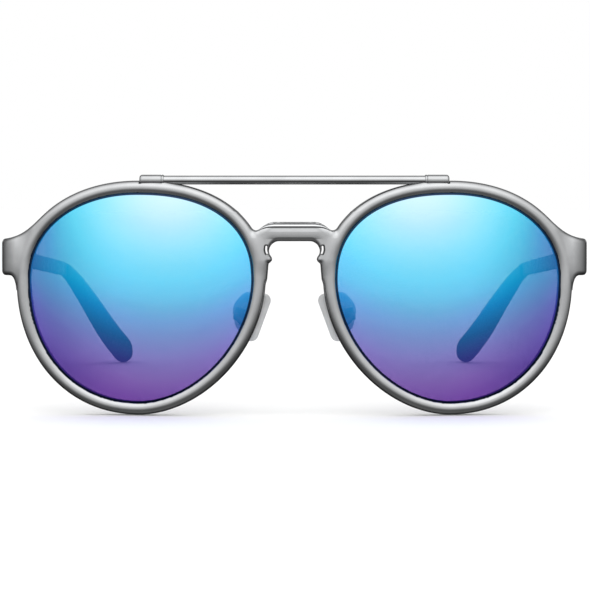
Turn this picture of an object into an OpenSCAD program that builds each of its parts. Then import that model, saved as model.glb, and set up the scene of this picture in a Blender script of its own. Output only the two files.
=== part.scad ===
// Aviator sunglasses with a straight brow bar, keyhole bridge, round-bottomed
// mirrored lenses, adjustable nose pads and folding temples.
// Millimetres. +Z up, the front faces -Y, X runs across the face and X = 0 is
// the mid-plane. Z = 0 is the table the rims and the temple tips rest on.

/* [Lens outline] */
// Distance from the mid-plane to the centre of each lens outline
lens_center_x = 38.2; // [37.6:0.1:38.6]
// Height of the centre of the lens outline above the table
lens_center_z = 33.35; // [33.35:0.01:33.5]
// Visible half-width of the lens, nose side
lens_half_nose = 27.8; // [27.2:0.1:28]
// Visible half-width of the lens, temple side
lens_half_temple = 26.65; // [26:0.05:26.8]
// Visible half-height above the centre
lens_half_top = 20.73; // [20.2:0.01:21]
// Visible half-height below the centre
lens_half_bottom = 29.97; // [29.5:0.01:30]
// Squareness of the top nose-side quarter, 2 is an ellipse
square_top_nose = 2.32; // [2.1:0.01:2.4]
// Squareness of the top temple-side quarter
square_top_temple = 2.08; // [2:0.01:2.2]
// Squareness of the bottom nose-side quarter
square_bottom_nose = 1.83; // [1.75:0.01:2]
// Squareness of the bottom temple-side quarter
square_bottom_temple = 2.17; // [2:0.01:2.3]

/* [Lens and rim] */
// Radius of the front lens surface, a base 4 curve
lens_radius = 132; // [125:1:140]
// Lens thickness
lens_thick = 2; // [1.8:0.1:2]
// How far the lens edge reaches into the rim groove
lens_bite = 0.7; // [0.5:0.05:0.7]
// Gap between lens and groove on each side
groove_gap = 0.05; // [0.04:0.01:0.08]
// Width of the rim seen from the front
rim_width = 3.6; // [3.5:0.05:3.65]
// Extra width of the rim at its temple side
rim_side_extra = 0.25; // [0.1:0.05:0.3]
// Thickness of the rim, front to back
rim_depth = 3.8; // [3.7:0.1:4]
// How far the rim stands in front of the lens
rim_proud = 0.95; // [0.9:0.05:1]

/* [Bridge and end pieces] */
// Top of the bridge above the table
bridge_top = 47.3; // [47:0.1:47.5]
// Underside of the bridge
bridge_under = 42.77; // [42.5:0.01:43]
// Height of the polished chamfer along the top of the bridge
bridge_bevel = 1.06; // [0.8:0.02:1.2]
// Half-width of the keyhole arch under the bridge
arch_half = 6.17; // [6:0.01:6.4]
// Half of the overall width across the end pieces
end_half = 72.5; // [72.3:0.01:72.6]
// Top corner height of the end piece
end_top = 43.3; // [43:0.1:43.6]
// Bottom of the end piece
end_bottom = 34.25; // [34:0.05:34.5]

/* [Brow bar] */
// Diameter of the brow bar
bar_dia = 2.15; // [2:0.05:2.2]
// Height of the bar's axis above the table
bar_z = 57.6; // [57.5:0.05:57.8]
// Half-length at which the end sleeves start
sleeve_start = 31.7; // [31:0.1:32.5]
// Half-length at which the end sleeves stop
sleeve_end = 37.6; // [37:0.1:38]
// Diameter of the end sleeves
sleeve_dia = 2.6; // [2.5:0.05:2.7]

/* [Hinges and temples] */
// Downward slope of the temples, which also tilts the hinge axes
panto = 4.2; // [4.15:0.05:4.25]
// Distance of each hinge axis from the mid-plane
hinge_x = 67.4; // [67.3:0.05:67.5]
// Distance of the hinge axes behind the front
hinge_y = 16.2; // [16:0.1:16.5]
// Height of the hinge centre above the table
hinge_z = 38.7; // [38.6:0.1:38.8]
// Radius of the hinge knuckles
knuckle_radius = 1.5; // [1.4:0.05:1.5]
// Overall height of the hinge knuckles
knuckle_height = 5.4; // [5.2:0.1:5.6]
// Radius of the hinge screw shank
hinge_pin_radius = 0.6; // [0.55:0.01:0.65]
// Radial clearance between screw and knuckle bores
pin_gap = 0.03; // [0.02:0.01:0.05]
// Straight length of the temple ahead of its ear bend
temple_straight = 77.2; // [76.5:0.1:78]
// Radius of the ear bend
bend_radius = 62.7; // [62:0.05:63.5]
// Angle of the ear bend
bend_deg = 41; // [40.5:0.1:41.1]
// Straight length of the tip behind the ear bend
tip_straight = 18.46; // [18:0.02:18.5]
// How far the tip end curves in towards the head
tip_inward = 14.8; // [14:0.1:15]
// Height of the widest place of the temple tip
tip_height = 8.6; // [8.4:0.1:8.7]
// Thickness of the temple tip
tip_thick = 3.9; // [3.6:0.1:4]

/* [Nose pads] */
// Centre of the pad, distance from the mid-plane
pad_x = 10.9; // [10.8:0.1:11.1]
// Centre of the pad, distance behind the front
pad_y = 10.8; // [10.6:0.1:11]
// Centre of the pad, height above the table
pad_z = 24.1; // [24:0.1:24.3]
// Splay of the pad seen from above
pad_splay = 50; // [49:0.5:51]
// Lean of the pad seen from the front
pad_lean = 13; // [12:0.5:14]
// Length of the pad
pad_length = 12.5; // [12.3:0.1:12.6]
// Width of the pad
pad_width = 10.4; // [10.2:0.1:10.4]
// Thickness of the pad
pad_thick = 2.6; // [2.5:0.05:2.6]
// Radius of the pad screw shank
pad_pin_radius = 0.4; // [0.38:0.01:0.42]

/* [Hidden] */

// distance from the front plane to the middle of the whole object
mid_y = 74.46;
// clearance between touching parts, and round the bar and pad arms in the frame
gap = 0.02;
seat_gap = 0.03;
// how far the inner face of the end piece lies outside the hinge axis
end_inner = 1.8;
bar_y = 3.7;

// ---- maths -----------------------------------------------------------------
function signed_pow(v, n) = sign(v) * pow(abs(v), n);
function lerp(a, b, t) = a + (b - a) * t;
function ease(t) = let (u = max(0, min(1, t))) u * u * (3 - 2 * u);
function unit(v) = v / norm(v);
function arc(center, radii, angles) =
    [for (a = angles) [center[0] + radii[0] * cos(a), center[1] + radii[1] * sin(a)]];
function superellipse(angle, half_w, half_h, square) =
    [half_w * signed_pow(cos(angle), 2 / square), half_h * signed_pow(sin(angle), 2 / square)];
// Bezier curve through n + 1 points
function bezier(p, t) = pow(1 - t, 3) * p[0] + 3 * t * pow(1 - t, 2) * p[1]
    + 3 * t * t * (1 - t) * p[2] + pow(t, 3) * p[3];
function curve(p, n) = [for (i = [0 : n]) bezier(p, i / n)];
// Catmull-Rom spline between b and c
function spline(a, b, c, d, t) = 0.5 * ((2 * b) + (c - a) * t
    + (2 * a - 5 * b + 4 * c - d) * t * t + (3 * b - a - 3 * c + d) * t * t * t);

// ---- lofting: sections are rings with the same number of points -------------
// triangles between two rings whose first points are numbered from and to
function band(from, to, size, flip = false) =
    [for (j = [0 : size - 1])
        let (k = (j + 1) % size, a = from + j, b = from + k, c = to + k, d = to + j)
        each (flip ? [[a, c, b], [a, d, c]] : [[a, b, c], [a, c, d]])];
function bands(first, count, size, flip = false) =
    [for (i = [0 : count - 2])
        each band(first + i * size, first + (i + 1) * size, size, flip)];
// flat end across one ring
function cap(first, size, flip = false) =
    [for (j = [1 : size - 2])
        flip ? [first, first + j + 1, first + j] : [first, first + j, first + j + 1]];

// closed loop of sections, joined end to end
module ring_loft(rings) {
    count = len(rings);
    size = len(rings[0]);
    polyhedron(
        points = [for (r = rings) each r],
        faces = [for (i = [0 : count - 1]) each band(i * size, (i + 1) % count * size, size)],
        convexity = 10);
}
// open row of sections with flat ends
module row_loft(rings) {
    count = len(rings);
    size = len(rings[0]);
    polyhedron(
        points = [for (r = rings) each r],
        faces = concat(
            bands(0, count, size),
            cap(0, size, flip = true),
            cap((count - 1) * size, size)),
        convexity = 10);
}
// row of sections with a blind channel that starts at the first section
module sleeve_loft(outer, inner) {
    size = len(outer[0]);
    first_inner = len(outer) * size;
    polyhedron(
        points = [for (r = concat(outer, inner)) each r],
        faces = concat(
            bands(0, len(outer), size),
            bands(first_inner, len(inner), size, flip = true),
            band(0, first_inner, size, flip = true),
            cap(first_inner - size, size),
            cap(first_inner + (len(inner) - 1) * size, size, flip = true)),
        convexity = 10);
}

// ---- placing ---------------------------------------------------------------
module place() { translate([0, -mid_y, 0]) children(); }
// hand 1 is the wearer's left, hand -1 the wearer's right
module side(hand) { place() mirror([hand < 0 ? 1 : 0, 0, 0]) children(); }
module both_sides() { for (k = [0, 1]) mirror([k, 0, 0]) children(); }
module at_hinge() {
    translate([hinge_x, hinge_y, hinge_z]) rotate([-panto, 0, 0]) children();
}
module at_pad() {
    translate([pad_x, pad_y, pad_z]) rotate([0, -pad_lean, 0]) rotate([0, 0, 180 - pad_splay])
        children();
}
// extrude a drawing made in X and Z along Y
module along_y(y0, y1) {
    translate([0, y1, 0]) rotate([90, 0, 0]) linear_extrude(y1 - y0) children();
}

// ---- lens outline and lens sphere ------------------------------------------
// centre of curvature of the front lens surface
sphere_center = [28.1, rim_proud + lens_radius, 33.55];
rim_steps = 72;
rim_angles = [for (i = [0 : rim_steps - 1]) i * 360 / rim_steps];

// angle 0 points to the temple, 90 up
function outline_radius(angle) =
    let (c = cos(angle), s = sin(angle),
         half_x = c < 0 ? lens_half_nose : lens_half_temple,
         half_z = s > 0 ? lens_half_top : lens_half_bottom,
         square = c < 0 ? (s > 0 ? square_top_nose : square_bottom_nose)
                        : (s > 0 ? square_top_temple : square_bottom_temple))
    pow(pow(abs(c / half_x), square) + pow(abs(s / half_z), square), -1 / square);
function outline_2d(angle) =
    [lens_center_x, lens_center_z] + outline_radius(angle) * [cos(angle), sin(angle)];
// front lens surface
function lens_y(x, z) = sphere_center[1]
    - sqrt(lens_radius * lens_radius - pow(x - sphere_center[0], 2) - pow(z - sphere_center[2], 2));
function on_lens(p) = [p[0], lens_y(p[0], p[1]), p[1]];
function lens_back_dir(point) = unit(sphere_center - point);
function out_dir(angle) =
    let (edge = on_lens(outline_2d(angle)),
         tangent = unit(on_lens(outline_2d(angle + 0.5)) - on_lens(outline_2d(angle - 0.5))),
         across = cross(tangent, lens_back_dir(edge)))
    across * sign(across * (edge - [lens_center_x, edge[1], lens_center_z]));
// a point outward from the visible lens edge and some depth behind the lens front
function rim_point(angle, outward, depth) =
    let (edge = on_lens(outline_2d(angle)),
         widen = 1 + rim_side_extra * pow(max(0, cos(angle)), 2) / rim_width)
    edge + outward * widen * out_dir(angle) + depth * lens_back_dir(edge);

// ---- rim -------------------------------------------------------------------
groove_floor = lens_bite + 0.06;
groove_mouth = 0.12;
groove_back = lens_thick + groove_gap;
rim_square = 2.5;
// [outward, depth]: domed all round, with the lens groove in its inner side
rim_section = concat(
    [for (a = [-146 : 24.3333 : 146.1])
        [rim_width / 2, rim_depth / 2 - rim_proud]
            + superellipse(a, rim_width / 2, rim_depth / 2, rim_square)],
    [[groove_mouth, groove_back], [groove_floor, groove_back],
     [groove_floor, -groove_gap], [groove_mouth, -groove_gap]]);

module rim() {
    ring_loft([for (angle = rim_angles) [for (s = rim_section) rim_point(-angle, s[0], s[1])]]);
}
// the room the lens needs, and the opening it is seen through
module lens_room() {
    lens_body(groove_floor, -groove_gap, groove_back);
    row_loft([for (depth = [-5, 9]) [for (angle = rim_angles) rim_point(angle, 0.1, depth)]]);
}

// ---- end pieces ------------------------------------------------------------
module end_piece_front_view() {
    corner = 1.25;
    corner_x = end_half - corner;
    polygon(concat(
        curve([[57.6, 52.2], [62.3, 49.2], [63.4, 44.9], [corner_x, end_top]], 10),
        arc([corner_x, end_top - corner], [corner, corner], [75 : -25 : 0]),
        arc([corner_x, end_bottom + corner], [corner, corner], [0 : -30 : -90]),
        curve([[70.3, end_bottom], [69.2, end_bottom], [68.8, 33.6], [68.6, 31.8]], 4),
        [[66.6, 31.2], [67, 38], [64.6, 45], [58, 50]]));
}
// the front face follows the curve of the lens
function end_front_y(x) = lens_y(x, sphere_center[2] + 5) - rim_proud - 0.1;
module end_piece_top_view() {
    start_x = 57;
    back_y = 18;
    corner = 2.2;
    corner_x = end_half - corner;
    inner_x = hinge_x + end_inner;
    polygon(concat(
        [for (x = [start_x : 2 : corner_x - 0.2]) [x, end_front_y(x)]],
        arc([corner_x, end_front_y(corner_x) + corner - 0.05], [corner, -corner], [75 : -15 : 0]),
        [[end_half, 13], [end_half - 0.25, back_y],
         [inner_x, back_y], [inner_x, end_front_y(68) + 4.3]],
        [for (x = [hinge_x : -2 : start_x]) [x, end_front_y(x) + 3.7]]));
}
module end_piece() {
    difference() {
        intersection() {
            along_y(0, 20) end_piece_front_view();
            translate([0, 0, 28]) linear_extrude(30) end_piece_top_view();
        }
        // square back face the temple butts against
        at_hinge() translate([-8, -0.8, -15]) cube([20, 10, 30]);
    }
}

// ---- bridge ----------------------------------------------------------------
// one half, from the top round the outer edge to the keyhole and its arch
module bridge_front_view() {
    arch_radii = [2.6, 2.45];
    polygon(concat(
        [[0, bridge_top], [4.2, bridge_top]],
        curve([[5, bridge_top], [7, bridge_top], [7.9, 46.1], [9.3, 45.2]], 5),
        [[9.1, 42], [8.8, 38], [8.3, 33], [7.3, 31.4]],
        [[6.75, 33.4], [6.56, 35.8], [6.3, 37.2]],
        arc([5.95, 38.5], [-0.55, 0.6], [-60 : 40 : 60]),
        [[6.1, 39.6]],
        arc([arch_half, bridge_under] - arch_radii, arch_radii, [0 : 18 : 90]),
        [[0, bridge_under]]));
}
module bridge() {
    front_y = 1.6;
    back_y = 4.9;
    // [y, z]: the front face stands just behind the rims' front, the chamfer runs up and back
    side_view = [[front_y, 20], [front_y, bridge_top - bridge_bevel], [3.1, bridge_top],
                 [2.6, 60], [back_y, 60], [back_y, 20]];
    intersection() {
        along_y(0, 8) {
            bridge_front_view();
            mirror([1, 0]) bridge_front_view();
        }
        translate([-20, 0, 0]) rotate([90, 0, 90]) linear_extrude(40) polygon(side_view);
    }
}

// ---- front frame -----------------------------------------------------------
// solder foot that runs from the bar down on to the rim, tapering towards the nose
module bar_foot() {
    for (i = [0 : 3])
        hull() for (k = [i, i + 1])
            translate([29.8 - 0.75 * k, bar_y, 56.75 - 0.15 * k - 0.02 * k * k])
                scale([1, 1, 0.42]) sphere(r = 0.95 - 0.17 * k, $fn = 12);
}
module front_half() {
    difference() {
        union() {
            rim();
            difference() {
                end_piece();
                lens_room();
            }
            bar_foot();
        }
        pad_wire(seat_gap);
    }
}
module front_frame() {
    color([0.66, 0.67, 0.68]) place() difference() {
        union() {
            difference() {
                bridge();
                both_sides() lens_room();
            }
            both_sides() front_half();
        }
        // seats of the brow bar, its sleeves and the pad arms
        translate([0, bar_y, bar_z]) rotate([0, 90, 0])
            cylinder(r = bar_dia / 2 + seat_gap, h = 2 * sleeve_start + 0.2,
                     center = true, $fn = 32);
        both_sides() {
            translate([sleeve_start - 0.05, bar_y, bar_z]) rotate([0, 90, 0])
                cylinder(r = sleeve_dia / 2 + seat_gap, h = sleeve_end - sleeve_start + 0.15,
                         $fn = 32);
            pad_wire(seat_gap);
        }
    }
}

// ---- brow bar --------------------------------------------------------------
// how far the bar reaches into each sleeve
bar_in_sleeve = 3;
module brow_bar() {
    color([0.7, 0.71, 0.73]) place() translate([0, bar_y, bar_z]) rotate([0, 90, 0])
        cylinder(d = bar_dia, h = 2 * (sleeve_start + bar_in_sleeve), center = true, $fn = 48);
}
module brow_bar_sleeve(hand) {
    radius = sleeve_dia / 2;
    bore = bar_dia / 2 + gap;
    bore_depth = bar_in_sleeve + 0.05;
    length = sleeve_end - sleeve_start;
    round = 0.7;
    color([0.7, 0.71, 0.73]) side(hand)
        translate([sleeve_start, bar_y, bar_z]) rotate([0, 90, 0])
            rotate_extrude($fn = 48) polygon(concat(
                [[0, bore_depth], [bore, bore_depth], [bore, 0], [radius, 0]],
                arc([radius - round, length - round], [round, round], [0 : 15 : 90]),
                [[0, length]]));
}

// ---- lenses ----------------------------------------------------------------
// bite is the reach beyond the visible edge, front and back are depths behind the lens front
module lens_body(bite, front, back) {
    center = [lens_center_x, lens_center_z];
    fractions = [0.3, 0.6, 0.85, 1];
    function ring(fraction, depth) = [for (angle = rim_angles)
        let (point = on_lens(center + (outline_2d(-angle) - center) * fraction))
        (fraction < 1 ? point + depth * lens_back_dir(point) : rim_point(-angle, bite, depth))];
    // rings run from the middle of the front, round the edge, to the middle of the back
    rings = concat([for (f = fractions) ring(f, front)],
                   [for (k = [3 : -1 : 0]) ring(fractions[k], back)]);
    middle = on_lens(center);
    last_ring = 1 + (len(rings) - 1) * rim_steps;
    last = last_ring + rim_steps;
    polyhedron(
        points = concat([middle + front * lens_back_dir(middle)],
                        [for (r = rings) each r],
                        [middle + back * lens_back_dir(middle)]),
        faces = concat(
            [for (i = [0 : rim_steps - 1]) [0, 1 + i, 1 + (i + 1) % rim_steps]],
            bands(1, len(rings), rim_steps, flip = true),
            [for (i = [0 : rim_steps - 1])
                [last, last_ring + (i + 1) % rim_steps, last_ring + i]]),
        convexity = 6);
}
module lens(hand) {
    color([0.35, 0.62, 0.9, 0.75]) side(hand) lens_body(lens_bite, 0, lens_thick);
}

// ---- nose pads: X is the direction the pad faces, Y its width, Z its length ----
// distance of the pad screw behind the middle of the pad
screw_back = 2.9;
// core: a plate inside the pad, and a stem back to the screw
core_inset = 1.6;
core_plate_x = -0.48;
core_plate_thick = 0.7;
stem_width = 1.6;
stem_radius = 1.1;
// slot in the back of the pad for the stem
pad_slot_length = 3.04;
// box, placed from the screw's axis
box_size = [2.45, 2.8, 3.2];
box_behind = 1.75;

// outline of the pad: four circles [across, up, radius] and the lines that touch them,
// straight towards the nose and full towards the eye
pad_circles = [[3.1, 4.55, 1.75], [-1.6, 3.5, 2.8], [-1.9, 1.4, 3.6], [1.35, -4.05, 2.1]];
pad_discs = [for (c = pad_circles) [c[1] * pad_length / 12.5, -c[0] * pad_width / 10.4, c[2]]];
// direction of the outward normal of the line that touches two discs
function touch(p, q) =
    let (d = [q[0] - p[0], q[1] - p[1]])
    atan2(d[1], d[0]) - 90 + asin((p[2] - q[2]) / norm(d));
module pad_plate(grow, thick) {
    discs = [for (d = pad_discs) [d[0], d[1], d[2] + grow]];
    rotate([0, 90, 0]) rotate([0, 0, 180]) linear_extrude(thick) polygon([for (i = [0 : 3])
        let (disc = discs[i],
             start = touch(discs[(i + 3) % 4], disc),
             turn = (touch(disc, discs[(i + 1) % 4]) - start + 720) % 360,
             steps = ceil(turn / 7.5))
        each arc(disc, [disc[2], disc[2]], [for (j = [0 : steps]) start + turn * j / steps])]);
}
// rod along Y from its end at y down
module pad_rod(y, radius, length) {
    translate([0, y, 0]) rotate([90, 0, 0]) cylinder(r = radius, h = length, $fn = 36);
}
module nose_pad(hand) {
    slot_width = stem_width + 2 * gap;
    color([0.82, 0.84, 0.85, 0.85]) side(hand) at_pad() difference() {
        translate([-pad_thick / 2, 0, 0]) pad_plate(0, pad_thick);
        translate([core_plate_x - gap, 0, 0])
            pad_plate(gap - core_inset, core_plate_thick + 2 * gap);
        translate([-pad_thick, -slot_width / 2, -pad_slot_length / 2])
            cube([pad_thick, slot_width, pad_slot_length]);
    }
}
module pad_core(hand) {
    color([0.6, 0.6, 0.62]) side(hand) at_pad() difference() {
        union() {
            translate([core_plate_x, 0, 0]) pad_plate(-core_inset, core_plate_thick);
            translate([-screw_back, -stem_width / 2, -stem_radius])
                cube([screw_back, stem_width, 2 * stem_radius]);
            translate([-screw_back, 0, 0]) pad_rod(stem_width / 2, stem_radius, stem_width);
        }
        translate([-screw_back, 0, 0]) pad_rod(2, pad_pin_radius + 0.03, 4);
    }
}
module pad_box(hand) {
    slot_width = stem_width + 0.14;
    color([0.62, 0.63, 0.65]) side(hand) at_pad() translate([-screw_back, 0, 0]) difference() {
        translate([-box_behind, -box_size[1] / 2, -box_size[2] / 2]) cube(box_size);
        translate([0.5 - box_behind, -slot_width / 2, -2]) cube([3, slot_width, 4]);
        pad_rod(2, pad_pin_radius + gap, 4);
    }
}
module pad_screw(hand) {
    color([0.5, 0.5, 0.52]) side(hand) at_pad() translate([-screw_back, 0, 0]) difference() {
        union() {
            pad_rod(1.6, pad_pin_radius, 3);
            pad_rod(1.95, 0.8, 0.53);
        }
        // driver slot
        translate([-1, 1.7, -0.12]) cube([2, 0.4, 0.24]);
    }
}

// ---- pad arms --------------------------------------------------------------
wire_radius = 0.6;
wire_start_radius = 0.4;
wire_sides = 12;
span_steps = 3;
// a point given about the pad, in the frame of the front
function pad_point(v) =
    let (c = cos(180 - pad_splay), s = sin(180 - pad_splay),
         x = v[0] * c - v[1] * s, y = v[0] * s + v[1] * c, z = v[2])
    [pad_x + x * cos(pad_lean) - z * sin(pad_lean),
     pad_y + y,
     pad_z + x * sin(pad_lean) + z * cos(pad_lean)];
// the arm leaves the rim behind the bridge, curls in and runs down to the back of the pad box
wire = [[8.9, 3.4, 39.2], [8, 4.9, 38.4], [7.5, 5.9, 36.6], [7.8, 6.2, 33.4], [8.6, 6.1, 29.4],
        [9.3, 6.1, 25.8], [10.8, 6.1, 22.8], [13, 6.1, 21.9],
        pad_point([-screw_back - 3.1, 0, -0.8]),
        pad_point([-screw_back - box_behind - 0.04, 0, -0.2])];
wire_spans = len(wire) - 1;
function wire_at(u) =
    let (i = min(wire_spans - 1, floor(u)))
    spline(wire[max(0, i - 1)], wire[i], wire[i + 1], wire[min(wire_spans, i + 2)], u - i);
// the wire meets the box square to its back
function wire_dir(u) = u == wire_spans ? unit(pad_point([1, 0, 0]) - pad_point([0, 0, 0]))
    : unit(wire_at(min(wire_spans, u + 0.05)) - wire_at(max(0, u - 0.05)));
module pad_wire(grow) {
    row_loft([for (i = [0 : wire_spans * span_steps])
        let (center = wire_at(i / span_steps),
             along = wire_dir(i / span_steps),
             side_dir = unit(cross(along, [0.3, 1, 0.1])),
             up_dir = cross(along, side_dir),
             radius = (i == 0 ? wire_start_radius : wire_radius) + grow)
        [for (j = [0 : wire_sides - 1])
            let (a = -j * 360 / wire_sides)
            center + radius * cos(a) * side_dir + radius * sin(a) * up_dir]]);
}
module pad_arm(hand) { color([0.62, 0.63, 0.65]) side(hand) pad_wire(0); }

// ---- hinges, about the hinge axis: X outward, Y back along the temple ----------
hinge_top = knuckle_height / 2;
// half-height of the middle knuckle, a third of the whole
middle_top = knuckle_height / 6;
split_gap = 0.05;
leaf_inner = 0.5;
temple_leaf_outer = 1.6;

module hinge_rod(radius, z0, z1) {
    translate([0, 0, z0]) cylinder(r = radius, h = z1 - z0, $fn = 48);
}
module hinge_bore() {
    hinge_rod(hinge_pin_radius + pin_gap, -hinge_top - 1, hinge_top + 1);
}
module hinge_front_leaf(hand) {
    color([0.68, 0.69, 0.7]) side(hand) at_hinge() difference() {
        union() {
            hinge_rod(knuckle_radius, -hinge_top, hinge_top);
            translate([0, -1.3, -hinge_top]) cube([1.5, 1.3, knuckle_height]);
            translate([leaf_inner, -5.2, -hinge_top])
                cube([end_inner - leaf_inner - gap, 4.35, knuckle_height]);
        }
        // room for the middle knuckle
        hinge_rod(knuckle_radius + 0.15, -middle_top - split_gap, middle_top + split_gap);
        hinge_bore();
        // room for the screw head
        hinge_rod(1.08, hinge_top - 0.75, hinge_top + 0.25);
    }
}
module hinge_temple_leaf(hand) {
    color([0.68, 0.69, 0.7]) side(hand) at_hinge() difference() {
        union() {
            hinge_rod(knuckle_radius, -middle_top, middle_top);
            translate([0, 0, -middle_top]) cube([temple_leaf_outer - gap, 1.8, 2 * middle_top]);
            translate([leaf_inner, 1.7, -hinge_top])
                cube([temple_leaf_outer - leaf_inner - gap, 5, knuckle_height]);
        }
        hinge_bore();
    }
}
module hinge_screw(hand) {
    color([0.55, 0.55, 0.57]) side(hand) at_hinge() difference() {
        union() {
            hinge_rod(hinge_pin_radius, -hinge_top, hinge_top - 0.1);
            hinge_rod(1.05, hinge_top - 0.72, hinge_top - 0.05);
        }
        // driver slot
        translate([-2, -0.13, hinge_top - 0.3]) cube([4, 0.26, 1]);
    }
}

// ---- temples, in the hinge's frame; s is the length along the centre line ------
bend_length = bend_radius * bend_deg * PI / 180;
temple_len = temple_straight + bend_length + tip_straight;
// where the inward curve starts
inward_from = temple_straight * 0.85;
// the arm's core inside the tip: where it starts and stops, and its section
tip_from = 84;
core_to = 128;
core_thick = 1.2;
core_height = 2.2;
core_square = 2.5;
core_stations = [for (s = [tip_from : 4 : core_to]) s];
ring_steps = 16;

function temple_at(s) =
    let (angle = s < temple_straight ? 0
             : min(bend_deg, (s - temple_straight) / bend_radius * 180 / PI),
         over = max(0, s - temple_straight - bend_length),
         y = min(s, temple_straight) + bend_radius * sin(angle) + over * cos(angle),
         z = -bend_radius * (1 - cos(angle)) - over * sin(angle),
         inward = max(0, (s - inward_from) / (temple_len - inward_from)))
    [3 - s / temple_len - tip_inward * pow(inward, 2.6), y + 0.8, z];
function temple_ring(s, thick, height, square) =
    let (center = temple_at(s),
         along = unit(temple_at(s + 0.5) - temple_at(s - 0.5)),
         up_dir = unit([0, 0, 1] - along * along[2]),
         side_dir = cross(along, up_dir))
    [for (j = [0 : ring_steps - 1])
        let (p = superellipse(j * 360 / ring_steps, thick / 2, height / 2, square))
        center + p[0] * side_dir + p[1] * up_dir];

function arm_height(s) = lerp(7, 4.1, ease(s / 30));
function arm_thick(s) = lerp(2.7, 1.5, ease(s / 26));
module temple_arm(hand) {
    bare = [-1.5, 0, 2, 5, 8, 12, 16, 20, 25, 30, 40, 50, 60, 66, 72, 77, tip_from - gap];
    color([0.62, 0.63, 0.65]) side(hand) at_hinge() row_loft(concat(
        [for (s = bare) temple_ring(s, arm_thick(s), arm_height(s), 4)],
        [for (s = core_stations) temple_ring(s, core_thick, core_height, core_square)]));
}

// length of the rounded end of the tip
tip_round = 4.4;
core_room = 0.06;
function blade_height(s) =
    lerp(4.6, tip_height, ease((s - tip_from) / (temple_len - 12 - tip_from)));
function blade_thick(s) = lerp(2.6, tip_thick, ease((s - tip_from) / 20));
// share of the full section left at s, kept above 0 at the very end
function end_round(s) = s < temple_len - tip_round ? 1
    : sqrt(1 - pow((s - temple_len + tip_round) / (tip_round + 0.05), 2));
// the first section is drawn in a little
function thick_share(s) = s == tip_from ? 0.85 : lerp(0.35, 1, end_round(s));
function height_share(s) = s == tip_from ? 0.92 : max(0.12, end_round(s));
module temple_tip(hand) {
    stations = concat([tip_from],
        [for (s = [tip_from + 3 : 4.5 : temple_len - tip_round]) s],
        [for (a = [15 : 15 : 90]) temple_len - tip_round + tip_round * sin(a)]);
    color([0.35, 0.42, 0.5]) side(hand) at_hinge() sleeve_loft(
        [for (s = stations) temple_ring(
            s, blade_thick(s) * thick_share(s), blade_height(s) * height_share(s), 2.4)],
        [for (s = concat(core_stations, [core_to + 0.5])) temple_ring(
            s, core_thick + core_room, core_height + core_room, core_square)]);
}

front_frame();
brow_bar();
brow_bar_sleeve(1);  // brow_bar_sleeve_left
brow_bar_sleeve(-1);  // brow_bar_sleeve_right
lens(1);  // lens_left
lens(-1);  // lens_right
pad_arm(1);  // pad_arm_left
pad_arm(-1);  // pad_arm_right
pad_box(1);  // pad_box_left
pad_box(-1);  // pad_box_right
pad_screw(1);  // pad_screw_left
pad_screw(-1);  // pad_screw_right
pad_core(1);  // pad_core_left
pad_core(-1);  // pad_core_right
nose_pad(1);  // nose_pad_left
nose_pad(-1);  // nose_pad_right
hinge_front_leaf(1);  // hinge_front_leaf_left
hinge_front_leaf(-1);  // hinge_front_leaf_right
hinge_temple_leaf(1);  // hinge_temple_leaf_left
hinge_temple_leaf(-1);  // hinge_temple_leaf_right
hinge_screw(1);  // hinge_screw_left
hinge_screw(-1);  // hinge_screw_right
temple_arm(1);  // temple_arm_left
temple_arm(-1);  // temple_arm_right
temple_tip(1);  // temple_tip_left
temple_tip(-1);  // temple_tip_right
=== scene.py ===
# Aviator sunglasses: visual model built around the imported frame.
import math
import bpy
import bmesh
import numpy as np
from mathutils import Vector, Matrix


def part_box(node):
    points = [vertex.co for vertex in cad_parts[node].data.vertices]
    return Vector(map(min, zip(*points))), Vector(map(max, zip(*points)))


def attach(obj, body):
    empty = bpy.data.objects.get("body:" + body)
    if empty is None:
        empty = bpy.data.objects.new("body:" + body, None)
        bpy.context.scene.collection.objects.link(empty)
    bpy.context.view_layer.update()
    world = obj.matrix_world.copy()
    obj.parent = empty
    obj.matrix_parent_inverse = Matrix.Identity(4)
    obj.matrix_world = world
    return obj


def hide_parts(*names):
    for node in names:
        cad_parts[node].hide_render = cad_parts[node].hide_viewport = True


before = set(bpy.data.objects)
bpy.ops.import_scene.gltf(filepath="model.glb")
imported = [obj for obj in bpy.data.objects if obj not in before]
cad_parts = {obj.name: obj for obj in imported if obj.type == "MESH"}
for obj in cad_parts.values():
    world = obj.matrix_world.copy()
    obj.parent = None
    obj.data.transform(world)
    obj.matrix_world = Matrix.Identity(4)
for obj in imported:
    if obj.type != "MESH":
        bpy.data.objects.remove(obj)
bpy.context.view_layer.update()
MM = 0.001

# ------------------------------------------------------------------ design
BAR_Y = 3.7
_lo, _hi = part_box("brow_bar")
MID_Y = BAR_Y - 1000 * (_lo[1] + _hi[1]) / 2          # front plane to the row's origin
LCX, LCZ = 38.2, 33.35
A_N, A_T, B_T, B_B = 27.8, 26.65, 20.73, 29.97
N_TN, N_TT, N_BN, N_BT = 2.32, 2.08, 1.83, 2.17
LR, LT, BITE = 132.0, 2.0, 0.7
RIM_W, RIM_D, PROUD, SIDE_W = 3.6, 3.8, 0.95, 0.25
LSX, LSZ = 28.1, 33.55
END_HALF, END_TOP, END_BOT = 72.8, 43.3, 34.25
HX, HY, HZ, PANTO = 67.4, 16.2, 38.7, math.radians(4.2)
BR_TOP, BR_UNDER, BR_BEV, ARCH, BR_FRONT = 47.3, 42.77, 1.06, 6.17, 1.6
RIM_N, BR_BETA = 2.05, 0.74
BAR_D, BAR_Z, TAB_IN, TAB_OUT, TAB_D = 2.15, 57.6, 31.7, 37.6, 2.6
PAD = np.array([10.9, 10.8, 24.1])
PAD_SPLAY, PAD_LEAN = math.radians(50), math.radians(13)
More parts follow.
